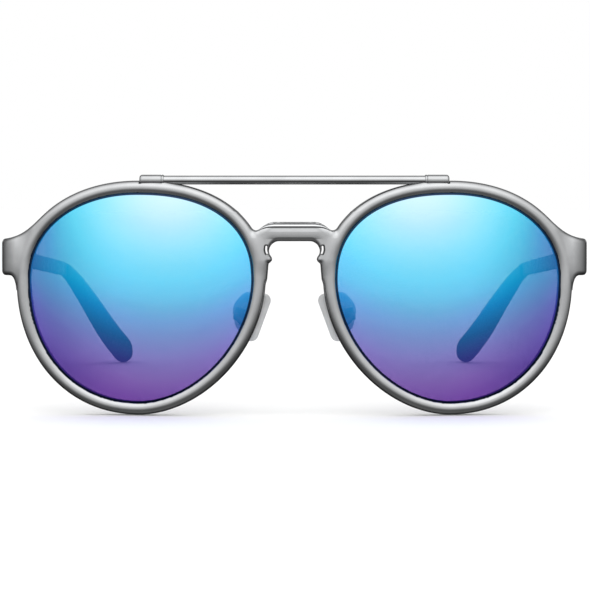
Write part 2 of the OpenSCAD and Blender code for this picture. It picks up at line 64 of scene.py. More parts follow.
PAD_DISCS = np.array([[3.1, 4.55, 1.75], [-1.65, 2.95, 2.8], [-2.1, 0.9, 3.6], [-1.3, -1.4, 3.1], [1.35, -4.05, 2.1]])
PAD_T, SCREW_BACK = 2.6, 2.9
STRAIGHT, BEND_R, BEND, TIP_STRAIGHT, TIP_IN = 77.2, 62.7, math.radians(41), 18.46, 14.8
T_LEN = STRAIGHT + BEND_R * BEND + TIP_STRAIGHT
TIP_FROM, TIP_H, TIP_T, CORE_TO = 84.0, 8.6, 3.9, 128.0


def spow(v, n):
    return np.sign(v) * np.abs(v) ** n


def smooth(a, b, t):
    u = np.clip((t - a) / (b - a), 0, 1)
    return u * u * (3 - 2 * u)


def outline_r(t):
    c, s = np.cos(t), np.sin(t)
    a = np.where(c < 0, A_N, A_T)
    b = np.where(s > 0, B_T, B_B)
    n = np.where(c < 0, np.where(s > 0, N_TN, N_BN), np.where(s > 0, N_TT, N_BT))
    return (np.abs(c / a) ** n + np.abs(s / b) ** n) ** (-1 / n)


def outline_2d(t):
    r = outline_r(t)
    return np.stack([LCX + r * np.cos(t), LCZ + r * np.sin(t)], -1)


def lens_y(x, z):
    return PROUD + LR - np.sqrt(LR * LR - (x - LSX) ** 2 - (z - LSZ) ** 2)


SPHERE = np.array([LSX, PROUD + LR, LSZ])


def on_lens(p):
    return np.stack([p[..., 0], lens_y(p[..., 0], p[..., 1]), p[..., 1]], -1)


def unit(v):
    return v / np.linalg.norm(v, axis=-1, keepdims=True)


def rim_frame(t):
    """point on the visible lens edge, outward direction in the lens surface, direction to the back"""
    q = on_lens(outline_2d(t))
    tg = unit(on_lens(outline_2d(t + 0.004)) - on_lens(outline_2d(t - 0.004)))
    n = unit(SPHERE - q)
    b = np.cross(tg, n)
    c = q - np.array([LCX, 0, LCZ])
    c[..., 1] = 0
    b = b * np.sign((b * c).sum(-1, keepdims=True))
    return q, b, n


# ------------------------------------------------------------------ mesh helpers
def place(v):
    """design millimetres to the row frame in metres"""
    v = np.array(v, float)
    v[..., 1] -= MID_Y
    return v * MM


def mirror(v):
    v = np.array(v, float)
    v[..., 0] *= -1
    return v


def new_object(name, verts, faces, mat, body, replaces=(), smooth_shade=True, flip=False):
    me = bpy.data.meshes.new(name)
    verts = np.asarray(verts, np.float32)
    if isinstance(faces, np.ndarray):
        if flip:
            faces = faces[:, ::-1]
        k = faces.shape[1]
        me.vertices.add(len(verts))
        me.vertices.foreach_set("co", verts.ravel())
        me.loops.add(faces.size)
        me.loops.foreach_set("vertex_index", np.ascontiguousarray(faces, dtype=np.int32).ravel())
        me.polygons.add(len(faces))
        me.polygons.foreach_set("loop_start", np.arange(0, faces.size, k, dtype=np.int32))
        me.update(calc_edges=True)
    else:
        if flip:
            faces = [tuple(f)[::-1] for f in faces]
        me.from_pydata(verts.tolist(), [], [tuple(int(i) for i in f) for f in faces])
    me.validate()
    me.update()
    if smooth_shade:
        me.polygons.foreach_set("use_smooth", np.ones(len(me.polygons), bool))
    o = bpy.data.objects.new(name, me)
    bpy.context.scene.collection.objects.link(o)
    for m in (mat if isinstance(mat, (list, tuple)) else [mat]):
        me.materials.append(m)
    if body:
        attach(o, body)
    if replaces:
        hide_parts(*replaces)
    return o


def outward(o):
    """makes the normals of a closed mesh point out"""
    bm = bmesh.new()
    bm.from_mesh(o.data)
    bmesh.ops.recalc_face_normals(bm, faces=bm.faces)
    bm.to_mesh(o.data)
    bm.free()
    return o


def loft(rings, closed_ring=False, cap=True):
    """rings: (n, m, 3). Returns verts and faces; ends closed with fans round a middle point."""
    rings = np.asarray(rings, float)
    n, m = rings.shape[:2]
    v = rings.reshape(-1, 3)
    i = np.arange(n if closed_ring else n - 1)[:, None]
    j = np.arange(m)[None, :]
    a = i * m + j
    b = i * m + (j + 1) % m
    c = ((i + 1) % n) * m + (j + 1) % m
    d = ((i + 1) % n) * m + j
    f = [tuple(q) for q in np.stack([a, b, c, d], -1).reshape(-1, 4)]
    if cap and not closed_ring:
        k = len(v)
        v = np.concatenate([v, rings[0].mean(0)[None], rings[-1].mean(0)[None]])
        f += [(k, (jj + 1) % m, jj) for jj in range(m)]
        o = (n - 1) * m
        f += [(k + 1, o + jj, o + (jj + 1) % m) for jj in range(m)]
    return v, f


# ------------------------------------------------------------------ 2-D distance fields
class Field:
    """signed distance to a closed outline, negative inside, sampled on a grid and read back smoothly"""

    def __init__(self, poly, lo, hi, h, closed=True):
        poly = np.asarray(poly, float)
        self.lo, self.h = np.array(lo, float), h
        nx, nz = [int(math.ceil((hi[k] - lo[k]) / h)) + 4 for k in (0, 1)]
        gx = lo[0] + h * (np.arange(nx) - 1)
        gz = lo[1] + h * (np.arange(nz) - 1)
        P = np.stack(np.meshgrid(gx, gz, indexing="ij"), -1).reshape(-1, 2)
        a = poly
        b = np.roll(poly, -1, 0) if closed else poly[1:]
        if not closed:
            a = poly[:-1]
        ab = b - a
        l2 = (ab ** 2).sum(1) + 1e-12
        out = np.empty(len(P))
        for s in range(0, len(P), 20000):
            p = P[s:s + 20000]
            t = np.clip(((p[:, None, 0] - a[None, :, 0]) * ab[None, :, 0]
                         + (p[:, None, 1] - a[None, :, 1]) * ab[None, :, 1]) / l2, 0, 1)
            dx = p[:, None, 0] - a[None, :, 0] - t * ab[None, :, 0]
            dz = p[:, None, 1] - a[None, :, 1] - t * ab[None, :, 1]
            d = np.sqrt((dx * dx + dz * dz).min(1))
            if closed:
                inside = (((a[None, :, 1] > p[:, None, 1]) != (b[None, :, 1] > p[:, None, 1]))
                          & (p[:, None, 0] < ab[None, :, 0] * (p[:, None, 1] - a[None, :, 1])
                             / np.where(ab[None, :, 1] == 0, 1e-12, ab[None, :, 1]) + a[None, :, 0])).sum(1) % 2
                d = np.where(inside == 1, -d, d)
            out[s:s + 20000] = d
        self.f = out.reshape(nx, nz)

    def __call__(self, x, z):
        u = (x - self.lo[0]) / self.h + 1
        w = (z - self.lo[1]) / self.h + 1
        nx, nz = self.f.shape
        u = np.clip(u, 1, nx - 3.001)
        w = np.clip(w, 1, nz - 3.001)
        i, k = u.astype(int), w.astype(int)
        fu, fw = u - i, w - k

        def cr(t):
            return (-0.5 * t + t * t - 0.5 * t ** 3, 1 - 2.5 * t * t + 1.5 * t ** 3,
                    0.5 * t + 2 * t * t - 1.5 * t ** 3, -0.5 * t * t + 0.5 * t ** 3)
        cu, cw = cr(fu), cr(fw)
        out = 0
        for a in range(4):
            row = 0
            for b in range(4):
                row = row + cw[b] * self.f[i + a - 1, k + b - 1]
            out = out + cu[a] * row
        return out

    def fast(self, x, z):
        nx, nz = self.f.shape
        u = np.clip((x - self.lo[0]) / self.h + 1, 0, nx - 1.001)
        w = np.clip((z - self.lo[1]) / self.h + 1, 0, nz - 1.001)
        i, k = u.astype(int), w.astype(int)
        fu, fw = u - i, w - k
        f = self.f
        return ((1 - fu) * ((1 - fw) * f[i, k] + fw * f[i, k + 1])
                + fu * ((1 - fw) * f[i + 1, k] + fw * f[i + 1, k + 1]))


def bez(p, n):
    p = np.asarray(p, float)
    t = np.linspace(0, 1, n)[:, None]
    return (1 - t) ** 3 * p[0] + 3 * t * (1 - t) ** 2 * p[1] + 3 * t * t * (1 - t) * p[2] + t ** 3 * p[3]


def arc(cx, cz, r, a0, a1, n):
    a = np.radians(np.linspace(a0, a1, n))
    return np.stack([cx + r * np.cos(a), cz + r * np.sin(a)], -1)


def smin(a, b, k):
    h = np.clip(0.5 + 0.5 * (b - a) / k, 0, 1)
    return b + (a - b) * h - k * h * (1 - h)


def smax(a, b, k):
    return -smin(-a, -b, k)


# outline distance measured along the lens surface
_t = np.linspace(0, 2 * np.pi, 640, endpoint=False)
F_LENS = Field(outline_2d(_t), (3, -4), (76, 61), 0.25)

_r = 1.25
END_POLY = np.concatenate([
    bez([[56.0, 51.3], [62.13, 51.38], [63.44, 44.22], [END_HALF - _r, END_TOP]], 40),
    arc(END_HALF - _r, END_TOP - _r, _r, 85, 0, 10),
    arc(END_HALF - _r, END_BOT + _r, _r, 0, -90, 10),
    bez([[70.3, END_BOT], [69.4, END_BOT], [68.75, 33.6], [68.55, 30.6]], 14),
    [[60.0, 30.0], [58.0, 38], [54.4, 45], [50.6, 50.6]]])
F_END = Field(END_POLY, (52, 27), (76, 56), 0.12)


# the plan of the end piece, drawn in x and depth behind the lens surface
def _plan():
    r, d0 = 4.4, -PROUD
    side = arc(0, 0, 1.0, -88, 0, 24) * [r, 3.6] + [END_HALF - r, d0 + 3.6]
    return np.concatenate([
        [[50, d0], [END_HALF - r - 0.5, d0]], side,
        [[END_HALF, 6], [END_HALF - 0.25, 16], [HX + 1.8, 16]],
        arc(HX + 0.9, 3.9, 0.9, 0, -90, 6),
        [[HX + 0.6, 2.95], [50, 2.85]]])


F_PLAN = Field(_plan(), (50, -4), (76, 18), 0.12)

BR_HALF = np.concatenate([
    [[-3, BR_TOP], [4.2, BR_TOP]],
    bez([[4.8, BR_TOP], [6.9, BR_TOP], [7.9, 46.1], [9.4, 45.1]], 24),
    [[9.5, 43.5], [9.2, 41], [8.9, 38], [8.3, 35], [7.5, 33.2]],
    bez([[7.0, 33.6], [6.8, 34.6], [6.62, 35.6], [6.45, 36.8]], 12),
    bez([[6.3, 37.4], [5.5, 37.75], [5.3, 38.2], [5.5, 38.75]], 8),
    bez([[5.6, 39.0], [6.05, 39.5], [6.15, 40.0], [ARCH, 40.4]], 8),
    arc(ARCH - 2.5, BR_UNDER - 2.5, 2.5, 0, 90, 20)[1:],
    [[-3, BR_UNDER]]])
F_BR = Field(BR_HALF, (-2, 26), (14, 50), 0.08)
# distance below the bridge's top edge only
F_BTOP = Field(np.concatenate([[[-4, BR_TOP]], BR_HALF[1:26], [[12.5, 42.4]]]), (-2, 36), (14, 50), 0.08, closed=False)


def frame_sdf(x, y, z, read="__call__"):
    """signed distance to the front frame, in the design frame, the same on both sides of x = 0"""
    rd = lambda f, a, b: (f(a, b) if read == "__call__" else f.fast(a, b))
    ax = np.abs(x)
    vx, vy, vz = ax - SPHERE[0], y - SPHERE[1], z - SPHERE[2]
    L = np.sqrt(vx * vx + vy * vy + vz * vz)
    d = LR - L                                           # depth behind the lens front
    qx, qz = SPHERE[0] + vx / L * LR, SPHERE[2] + vz / L * LR
    r2 = rd(F_LENS, qx, qz)
    # planar to in-surface distance
    ex, ez = qx - LCX, qz - LCZ
    en = np.sqrt(ex * ex + ez * ez) + 1e-6
    slope = (vx * ex + vz * ez) / en / LR
    r = r2 / np.sqrt(np.clip(1 - slope * slope, 0.5, 1))
    cosq = np.clip(ex / en, 0, 1)
    rr = r / (1 + SIDE_W * cosq ** 2 / RIM_W)
    # rim: domed all round
    u = np.abs((rr - RIM_W / 2 - 0.05) / (RIM_W / 2 - 0.05))
    w = np.abs((d - (RIM_D / 2 - PROUD)) / (RIM_D / 2))
    rim = ((u ** RIM_N + w ** RIM_N + 1e-9) ** (1 / RIM_N) - 1) * 1.6
    # end piece: its front carries on from the rim's crest
    fe = rd(F_END, ax, z)
    crown = 0.020 * np.clip(np.abs(z - 38.3) - 0.5, 0, 6) ** 2 * smooth(63.5, 68, ax)
    fp = rd(F_PLAN, ax, np.where(d < 1.0, d - crown, d))
    yl = (y - HY) * math.cos(PANTO) - (z - HZ) * math.sin(PANTO)
    end = smax(fe, fp, 1.3)
    end = smax(end, yl + 0.82, 0.25)
    end = smax(end, (RIM_W / 2 + 0.1 - rr) * 0.5, 0.5)
    # bridge: crowned front, polished chamfer along its top
    fb = rd(F_BR, ax, z)
    s = np.abs(rd(F_BTOP, ax, z))
    bev = BR_BEV * (1 - smooth(5.2, 9.6, ax))
    mid = 1 - smooth(5.0, 8.0, ax)
    fly = BR_FRONT + mid * (0.16 * np.clip(z - 45.0, 0, 1.4) + 0.06 * np.clip(z - 45.0, -1.8, 0) ** 2)
    fly = fly + 1.3 * smooth(38.5, 32.5, z) * (1 - mid)
    slab = np.maximum((fly - y) * 0.95, y - 4.9)
    cham = ((bev * 1.05 - s) * math.tan(BR_BETA) - (y - BR_FRONT)) * math.cos(BR_BETA)
    top = np.where(z > 42, smax(fb, cham, 0.12), fb)
    br = smax(top, slab, 0.08 + 1.1 * smooth(44.6, 43.4, z) * mid + (0.7 + 1.0 * smooth(42.0, 37.0, z)) * (1 - mid))
    f = smin(rim, end, 0.2)
    f = smin(f, br, 1.5)
    # slot between the rim and the strand that curls down to the nub
    p0, p1 = np.array([6.78, 41.45]), np.array([6.62, 39.85])
    dd = p1 - p0
    tt = np.clip(((ax - p0[0]) * dd[0] + (z - p0[1]) * dd[1]) / (dd @ dd), 0, 1)
    bow = 0.12 * np.sin(tt * math.pi)
    open_ = 0.21 + 0.26 * smooth(3.4, 1.3, y)
    cap = np.sqrt((ax - bow - open_ * 0.25 - p0[0] - tt * dd[0]) ** 2 + (z - p0[1] - tt * dd[1]) ** 2) - open_
    f = smax(f, -cap, 0.12)
    # lens groove and opening
    g = np.maximum(rr - (BITE + 0.06), np.abs(d - LT / 2) - (LT / 2 + 0.05))
    g = np.minimum(g, rr - 0.1)
    f = smax(f, -g, 0.1)
    # solder feet from the bar on to the rims
    ft = np.clip((ax - 26.6) / 5.0, 0, 1)
    foot = np.sqrt(((y - BAR_Y) / 1.15) ** 2 + ((z - (55.6 + 1.2 * ft)) / 0.55) ** 2) - (0.22 + 0.5 * ft)
    foot = np.maximum(foot * 0.55, np.abs(ax - 29.2) - 2.6)
    f = smin(f, foot, 0.5)
    # seats of the brow bar and its sleeves
    rad = np.sqrt((y - BAR_Y) ** 2 + (z - BAR_Z) ** 2)
    f = smax(f, -np.maximum(rad - BAR_D / 2 - 0.03, ax - TAB_IN), 0.08)
    f = smax(f, -np.maximum(rad - TAB_D / 2 - 0.03, np.maximum(TAB_IN - 0.04 - ax, ax - TAB_OUT - 0.05)), 0.08)
    return f


def surface_nets(fn, lo, n, h, relax=3):
    """quad mesh of fn = 0 over n grid points, open only at x = 0, its points pulled exactly on to the surface"""
    lo, B = np.array(lo, float), 8
    n = (np.ceil(np.array(n) / B) * B).astype(int)
    nb = n // B
    bi = np.stack(np.meshgrid(*[np.arange(k) for k in nb], indexing="ij"), -1).reshape(-1, 3)
    ctr = lo + (bi * B + (B - 1) / 2) * h
    fc = fn(ctr[:, 0], ctr[:, 1], ctr[:, 2], "fast")
    near = np.abs(fc) < 1.5 * (B * h * 0.5 * math.sqrt(3) + h)
    F = np.repeat(np.repeat(np.repeat(np.where(fc < 0, -9, 9).astype(np.float32).reshape(nb), B, 0), B, 1), B, 2)
    off = np.stack(np.meshgrid(*[np.arange(B)] * 3, indexing="ij"), -1).reshape(-1, 3)
    bn = bi[near]
    for s0 in range(0, len(bn), 1500):
        P = (bn[s0:s0 + 1500, None] * B + off[None]).reshape(-1, 3)
        X = lo + P * h
        F[P[:, 0], P[:, 1], P[:, 2]] = fn(X[:, 0], X[:, 1], X[:, 2], "fast")
    S = F < 0
    c = np.zeros(n - 1, np.uint8)
    for a in (0, 1):
        for b in (0, 1):
            for e in (0, 1):
                c += S[a:n[0] - 1 + a, b:n[1] - 1 + b, e:n[2] - 1 + e]
    I, J, K = np.nonzero((c > 0) & (c < 8))
    idx = np.full(n - 1, -1, np.int64)
    idx[I, J, K] = np.arange(len(I))
    acc = np.zeros((len(I), 3))
    cnt = np.zeros(len(I))
    for p in [(a, b, e) for a in (0, 1) for b in (0, 1) for e in (0, 1)]:
        for ax_ in range(3):
            if p[ax_] == 1:
                continue
            q = list(p)
            q[ax_] = 1
            fa = F[I + p[0], J + p[1], K + p[2]]
            fb = F[I + q[0], J + q[1], K + q[2]]
            m = (fa < 0) != (fb < 0)
            t = np.where(m, fa / np.where(m, fa - fb, 1), 0)
            acc += (np.array(p, float)[None] + t[:, None] * np.eye(3)[ax_][None]) * m[:, None]
            cnt += m
    V = lo + (acc / cnt[:, None] + np.stack([I, J, K], -1)) * h
    seam = I == 0
    V[seam, 0] = 0
    quads = []
    for ax_ in range(3):
        sl0, sl1 = [slice(None)] * 3, [slice(None)] * 3
        sl0[ax_], sl1[ax_] = slice(0, -1), slice(1, None)
        A, C = S[tuple(sl0)], S[tuple(sl1)]
        o1, o2 = [k for k in range(3) if k != ax_]
        cut = [slice(None)] * 3
        cut[o1] = cut[o2] = slice(1, -1)
        full = np.zeros_like(A)
        full[tuple(cut)] = (A != C)[tuple(cut)]
        P = np.stack(np.nonzero(full), -1)
        e1, e2 = np.eye(3, dtype=int)[o1], np.eye(3, dtype=int)[o2]
        q = np.stack([idx[tuple(cc.T)] for cc in (P - e1 - e2, P - e2, P, P - e1)], -1)
        up = A[tuple(P.T)]
        flip = up if ax_ != 1 else ~up
        quads.append(np.where(flip[:, None], q, q[:, ::-1]))
    Q = np.concatenate(quads)
    Q = Q[(Q >= 0).all(1)]

    def grad(V, e=0.012):
        return np.stack([fn(V[:, 0] + e, V[:, 1], V[:, 2]) - fn(V[:, 0] - e, V[:, 1], V[:, 2]),
                         fn(V[:, 0], V[:, 1] + e, V[:, 2]) - fn(V[:, 0], V[:, 1] - e, V[:, 2]),
                         fn(V[:, 0], V[:, 1], V[:, 2] + e) - fn(V[:, 0], V[:, 1], V[:, 2] - e)], -1) / (2 * e)

    def project(V):
        f0 = fn(V[:, 0], V[:, 1], V[:, 2])
        g = grad(V)
        step = -(f0 / np.maximum((g * g).sum(-1), 0.05))[:, None] * g
        ln = np.linalg.norm(step, axis=1, keepdims=True)
        V = V + step * np.minimum(1, 0.4 * h / np.maximum(ln, 1e-9))
        V[seam, 0] = 0
        return V
    E = np.concatenate([Q[:, [0, 1]], Q[:, [1, 2]], Q[:, [2, 3]], Q[:, [3, 0]]])
    deg = np.maximum(np.bincount(E.ravel(), minlength=len(V)).astype(float), 1)
    for _ in range(relax):
        S_ = np.stack([np.bincount(E[:, 0], V[E[:, 1], k], len(V)) + np.bincount(E[:, 1], V[E[:, 0], k], len(V))
                       for k in range(3)], -1)
        V = V + 0.5 * (S_ / deg[:, None] - V)
        V[seam, 0] = 0
        V = project(V)
    V = project(V)
    return V, Q, grad(V), seam


def both_sides(V, Q, G, seam):
    """joins a half mesh, open at x = 0, to its mirror image"""
    k = np.arange(len(V))
    other = k.copy()
    other[~seam] = len(V) + np.arange((~seam).sum())
    V2 = mirror(V[~seam])
    G2 = mirror(G[~seam])
    G = G.copy()
    G[seam, 0] = 0
    return np.concatenate([V, V2]), np.concatenate([Q, other[Q][:, ::-1]]), np.concatenate([G, G2])


# ------------------------------------------------------------------ materials
class Tree:
    def __init__(self, name, world=False):
        if world:
            self.m = bpy.data.worlds.new(name)
        else:
            self.m = bpy.data.materials.new(name)
        self.m.use_nodes = True
        self.t = self.m.node_tree
        self.t.nodes.clear()

    def n(self, kind, *a, out=0, **kw):
        """adds a node; capitalised names are inputs, the others its settings. Returns one output."""
        nd = self.t.nodes.new(kind)
        for k, v in kw.items():
            if k[0].isupper():
                k = k.replace("_", " ")
                s = next(i for i in nd.inputs if i.name == k and i.enabled)
                self.put(s, v)
            else:
                setattr(nd, k, v)
        for i, v in enumerate(a):
            if v is not None:
                self.put(nd.inputs[i], v)
        self.last = nd
        return nd.outputs[out] if len(nd.outputs) else None

    def put(self, s, v):
        if isinstance(v, bpy.types.NodeSocket):
            self.t.links.new(v, s)
        elif s.type == "RGBA" and not isinstance(v, (int, float)):
            s.default_value = tuple(v) + ((1,) if len(v) == 3 else ())
        elif s.type == "RGBA":
            s.default_value = (v, v, v, 1)
        else:
            s.default_value = v

    def math(self, op, a, b=0.0, c=None, clamp=False):
        return self.n("ShaderNodeMath", a, b, c, operation=op, use_clamp=clamp)

    def step(self, v, a, b, lo=0.0, hi=1.0):
        return self.n("ShaderNodeMapRange", v, a, b, lo, hi, interpolation_type="SMOOTHSTEP")

    def ramp(self, v, stops, interp="LINEAR"):
        o = self.n("ShaderNodeValToRGB", v)
        cr = self.last.color_ramp
        cr.interpolation = interp
        while len(cr.elements) < len(stops):
            cr.elements.new(0.5)
        for e, (p, c) in zip(cr.elements, stops):
            e.position = p
            e.color = tuple(c) + (1,)
        return o

    def mix(self, f, a, b, mode="MIX"):
        nd = self.t.nodes.new("ShaderNodeMix")
        nd.data_type = "RGBA"
        nd.blend_type = mode
        self.put(nd.inputs[0], f)
        self.put(nd.inputs[6], a)
        self.put(nd.inputs[7], b)
        return nd.outputs[2]

    def coords(self, scale=(1, 1, 1)):
        """place in the object at rest, in millimetres times scale"""
        o = self.n("ShaderNodeTexCoord", out=3)
        return self.n("ShaderNodeMapping", o, Scale=[1000 * k for k in scale])

    def noise(self, vec, scale=1.0, detail=3.0, rough=0.5, out=0):
        return self.n("ShaderNodeTexNoise", out=out, Vector=vec, Scale=scale, Detail=detail, Roughness=rough)

    def bump(self, height, dist, strength=1.0, normal=None):
        kw = dict(Height=height, Distance=dist, Strength=strength)
        if normal is not None:
            kw["Normal"] = normal
        return self.n("ShaderNodeBump", **kw)

    def done(self, surface):
        self.n("ShaderNodeOutputMaterial", surface)
        return self.m


def metal(name, base, rough, grain=(0.35, 6, 6), grain_um=1.2, wear=0.05, spread=0.05, tint=(0.98, 0.99, 0.995), painted_reflection_bands=False):
    """satin metal: fine grain drawn out along one direction, soft handling marks, brighter worn edges"""
    t = Tree(name)
    fine = t.noise(t.coords(grain), 1.6, 4, 0.6)
    cloud = t.noise(t.coords(), 0.16, 3, 0.55)
    pits = t.noise(t.coords(), 7.0, 2, 0.5)
    r = t.math("ADD", rough, t.math("MULTIPLY", t.math("SUBTRACT", fine, 0.5), spread * 2.2))
    r = t.math("ADD", r, t.math("MULTIPLY", t.math("SUBTRACT", cloud, 0.5), spread * 1.6), clamp=True)
    c = t.mix(t.step(cloud, 0.3, 0.72), [base * k * 0.94 for k in tint], [base * k * 1.05 for k in tint])
    edge = t.step(t.n("ShaderNodeNewGeometry", out=7), 0.515, 0.58)
    c = t.mix(t.math("MULTIPLY", edge, t.math("MULTIPLY", fine, wear * 6)), c, [min(1, base * 1.35)] * 3)
    if painted_reflection_bands:
        # painted reflection and shade: the rod's colour is made lighter and darker in bands across its height, in
        # stripes along its length, standing in for the studio reflected in the round rod
        z = t.n("ShaderNodeSeparateXYZ", t.n("ShaderNodeTexCoord", out=3)).node.outputs[2]
        q = t.math("DIVIDE", t.math("SUBTRACT", z, (BAR_Z - BAR_D / 2) * MM), BAR_D * MM, clamp=True)
        c = t.mix(1.0, c, t.ramp(q, [(0.0, (0.55,) * 3), (0.1, (0.7,) * 3), (0.17, (0.95,) * 3), (0.24, (0.5,) * 3), (0.42, (0.42,) * 3),
                                     (0.5, (0.9,) * 3), (0.88, (1.0,) * 3), (0.95, (0.5,) * 3)]), "MULTIPLY")
    h = t.math("ADD", fine, t.math("MULTIPLY", pits, 0.35))
    nb = t.bump(h, grain_um * 1e-6, 1.0)
    return t.done(t.n("ShaderNodeBsdfPrincipled", Base_Color=c, Metallic=1.0, Roughness=r, Normal=nb))


def srgb(*c):
    return [((k / 255 + 0.055) / 1.055) ** 2.4 if k > 10 else k / 255 / 12.92 for k in c]


def mirror_lens():
    """gradient mirror coating over a tinted lens: what the coating sends back and what the lens lets through
    both run from sky blue at the top to violet at the bottom"""
    t = Tree("mirror_lens")
    o = t.n("ShaderNodeTexCoord", out=3)
    sep = t.n("ShaderNodeSeparateXYZ", o)
    sx = t.math("MULTIPLY", t.math("ABSOLUTE", t.last.outputs[0]), 1000)
    sz = t.math("MULTIPLY", t.last.outputs[2] if False else sep.node.outputs[2], 1000)
    # the colour bands arch: they run lower towards the nose and the temple
    dx = t.math("SUBTRACT", sx, 31.84)
    dx2 = t.math("MULTIPLY", dx, dx)
    h = t.math("SUBTRACT", sz, t.math("MULTIPLY", dx2, 0.01572))
    up = t.math("MULTIPLY", t.math("MAXIMUM", t.math("SUBTRACT", sz, 34.0), 0.0), 0.001151)
    h = t.math("SUBTRACT", h, t.math("MULTIPLY", up, dx2))
    wob = t.math("MULTIPLY", t.math("SUBTRACT", t.noise(t.coords(), 0.05, 2, 0.5), 0.5), 1.0)
    h = t.math("ADD", h, wob)
    f = t.math("DIVIDE", t.math("SUBTRACT", h, 3.0), 52.0, clamp=True)
    side = t.step(sx, 40.0, 62.0)
    refl = t.mix(side, t.ramp(f, REFL), SIDE, "MULTIPLY")
    tint = t.mix(side, t.ramp(f, TINT), SIDE, "MULTIPLY")
    # bloom of the light above
    bx = t.math("POWER", t.math("DIVIDE", t.math("SUBTRACT", sx, BLOOM[0]), BLOOM[2]), 2)
    bz = t.math("POWER", t.math("DIVIDE", t.math("SUBTRACT", sz, BLOOM[1]), BLOOM[3]), 2)
    b = t.math("EXPONENT", t.math("MULTIPLY", t.math("ADD", bx, bz), -1))
    refl = t.mix(b, refl, BLOOM_ADD, "ADD")
    # painted shade: near the rim the coating's reflection and the tint are mixed towards near black, read from the
    # 'edge' attribute
    edge = t.n("ShaderNodeAttribute", attribute_name="edge", out=2)
    refl = t.mix(t.step(edge, 0.0, 1.0, 0.0, 0.97), refl, (0.006, 0.018, 0.05))
    tint = t.mix(t.step(edge, 0.0, 1.0, 0.0, 0.98), tint, (0.004, 0.006, 0.012))
    # dust and faint wipe marks
    wipe = t.noise(t.coords((0.2, 1, 0.9)), 0.5, 4, 0.6)
    rough = t.math("ADD", 0.035, t.math("MULTIPLY", wipe, 0.03))
    nb = t.bump(t.noise(t.coords(), 0.09, 2, 0.5), 4e-6)
    g = t.n("ShaderNodeBsdfGlossy", Color=refl, Roughness=rough, Normal=nb)
    tr = t.n("ShaderNodeBsdfTransparent", Color=tint)
    front = t.n("ShaderNodeAddShader", g, tr)
    # from behind the same coating looks like a dim smoky mirror
    g2 = t.n("ShaderNodeBsdfGlossy", Color=(0.035, 0.045, 0.06), Roughness=rough)
    tr2 = t.n("ShaderNodeBsdfTransparent", Color=tint)
    back = t.n("ShaderNodeAddShader", g2, tr2)
    bf = t.n("ShaderNodeNewGeometry", out=6)
    return t.done(t.n("ShaderNodeMixShader", bf, front, back))


def lens_back():
    t = Tree("lens_inside")
    wipe = t.noise(t.coords((0.2, 1, 0.9)), 0.4, 4, 0.6)
    fr = t.n("ShaderNodeFresnel", IOR=1.5)
    g = t.n("ShaderNodeBsdfGlossy", Color=(0.9, 0.93, 1.0), Roughness=t.math("ADD", 0.03, t.math("MULTIPLY", wipe, 0.05)))
    tr = t.n("ShaderNodeBsdfTransparent", Color=(1, 1, 1))
    bf = t.n("ShaderNodeNewGeometry", out=6)
    clear = t.n("ShaderNodeBsdfTransparent", Color=(1, 1, 1))
    s = t.n("ShaderNodeMixShader", t.math("MULTIPLY", fr, 0.8), tr, g)
    return t.done(t.n("ShaderNodeMixShader", bf, s, clear))


def lens_edge():
    t = Tree("lens_edge")
    c = t.ramp(t.noise(t.coords((1, 1, 1)), 1.2, 3), [(0.3, (0.012, 0.018, 0.03)), (0.7, (0.03, 0.04, 0.06))])
    return t.done(t.n("ShaderNodeBsdfPrincipled", Base_Color=c, Roughness=0.5))


def silicone():
    """milky clear silicone: soft skin, light passing through its thin rim, a little dust"""
    t = Tree("pad_silicone")
    cloud = t.noise(t.coords(), 0.35, 3, 0.5)
    skin = t.noise(t.coords(), 3.5, 4, 0.6)
    facing = t.n("ShaderNodeLayerWeight", 0.35, out=1)
    c = t.mix(t.step(cloud, 0.3, 0.7), (0.74, 0.74, 0.735), (0.82, 0.82, 0.815))
    c = t.mix(t.math("MULTIPLY", facing, 0.4), c, (0.72, 0.74, 0.76))
    r = t.math("ADD", 0.33, t.math("MULTIPLY", t.math("SUBTRACT", skin, 0.5), 0.16))
    nb = t.bump(skin, 3e-6)
    p = t.n("ShaderNodeBsdfPrincipled", Base_Color=c, Roughness=r, IOR=1.41, Normal=nb, Coat_Weight=0.15, Coat_Roughness=0.2)
    tl = t.n("ShaderNodeBsdfTranslucent", Color=(0.62, 0.65, 0.68))
    return t.done(t.n("ShaderNodeMixShader", 0.3, p, tl))


def plastic(name, dark, light, rough=0.3):
    t = Tree(name)
    streak = t.noise(t.coords((1.0, 0.12, 0.8)), 0.5, 4, 0.6)
    skin = t.noise(t.coords(), 5.0, 3, 0.6)
    scuff = t.noise(t.coords((1, 0.5, 1)), 0.9, 5, 0.7)
    c = t.mix(t.step(streak, 0.35, 0.7), dark, light)
    r = t.math("ADD", rough, t.math("MULTIPLY", t.step(scuff, 0.52, 0.75), 0.18))
    r = t.math("ADD", r, t.math("MULTIPLY", t.math("SUBTRACT", skin, 0.5), 0.06))
    return t.done(t.n("ShaderNodeBsdfPrincipled", Base_Color=c, Roughness=r, IOR=1.5, Normal=t.bump(skin, 2e-6),
                      Coat_Weight=0.25, Coat_Roughness=0.12))


